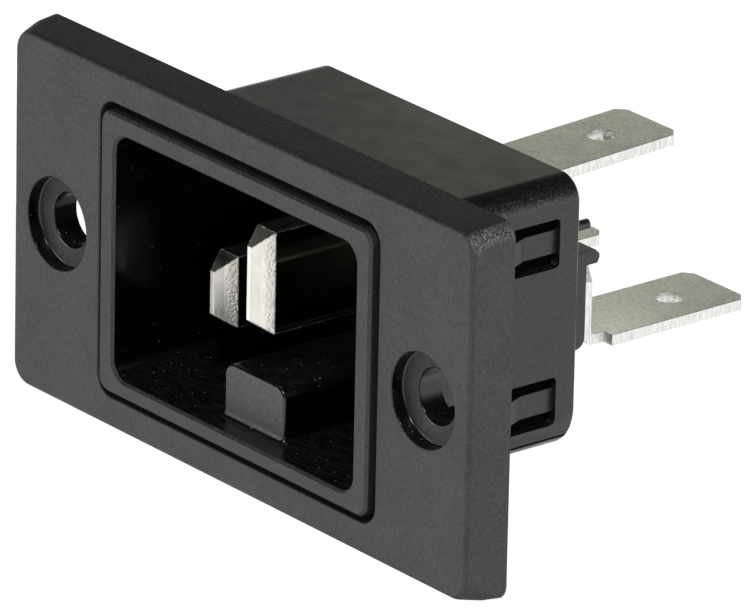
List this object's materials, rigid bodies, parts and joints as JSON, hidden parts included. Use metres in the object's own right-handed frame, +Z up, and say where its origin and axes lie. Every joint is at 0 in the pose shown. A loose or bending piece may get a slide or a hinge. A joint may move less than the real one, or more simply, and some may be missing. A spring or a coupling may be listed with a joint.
{
  "type": "panel inlet socket",
  "caption": "Screw-on panel inlet socket: shrouded rectangular cavity with a key rib and flat contact blades, and quick-connect tabs behind the panel.",
  "frame": {"origin": "centre of the mounting frame's rear face, where it meets the panel", "axes": "+Y into the panel, +X to the right when facing the socket, +Z up"},
  "size_m": [0.0506, 0.0368, 0.0268],
  "materials": {
    "frame_plastic": "fine-grained moulded thermoplastic, dark grey",
    "body_plastic": "moulded thermoplastic, near black, smooth inside the cavity",
    "blade_metal": "nickel-plated, coined nose",
    "terminal_metal": "nickel-plated sheet, satin faces and bright sheared edges"
  },
  "bodies": {
    "root": {"mounting_frame": "frame_plastic", "socket_body": "body_plastic", "earth_blade": "blade_metal", "left_blade": "blade_metal", "right_blade": "blade_metal", "earth_terminal": "terminal_metal", "left_terminal": "terminal_metal", "right_terminal": "terminal_metal"}
  },
  "joints": []
}
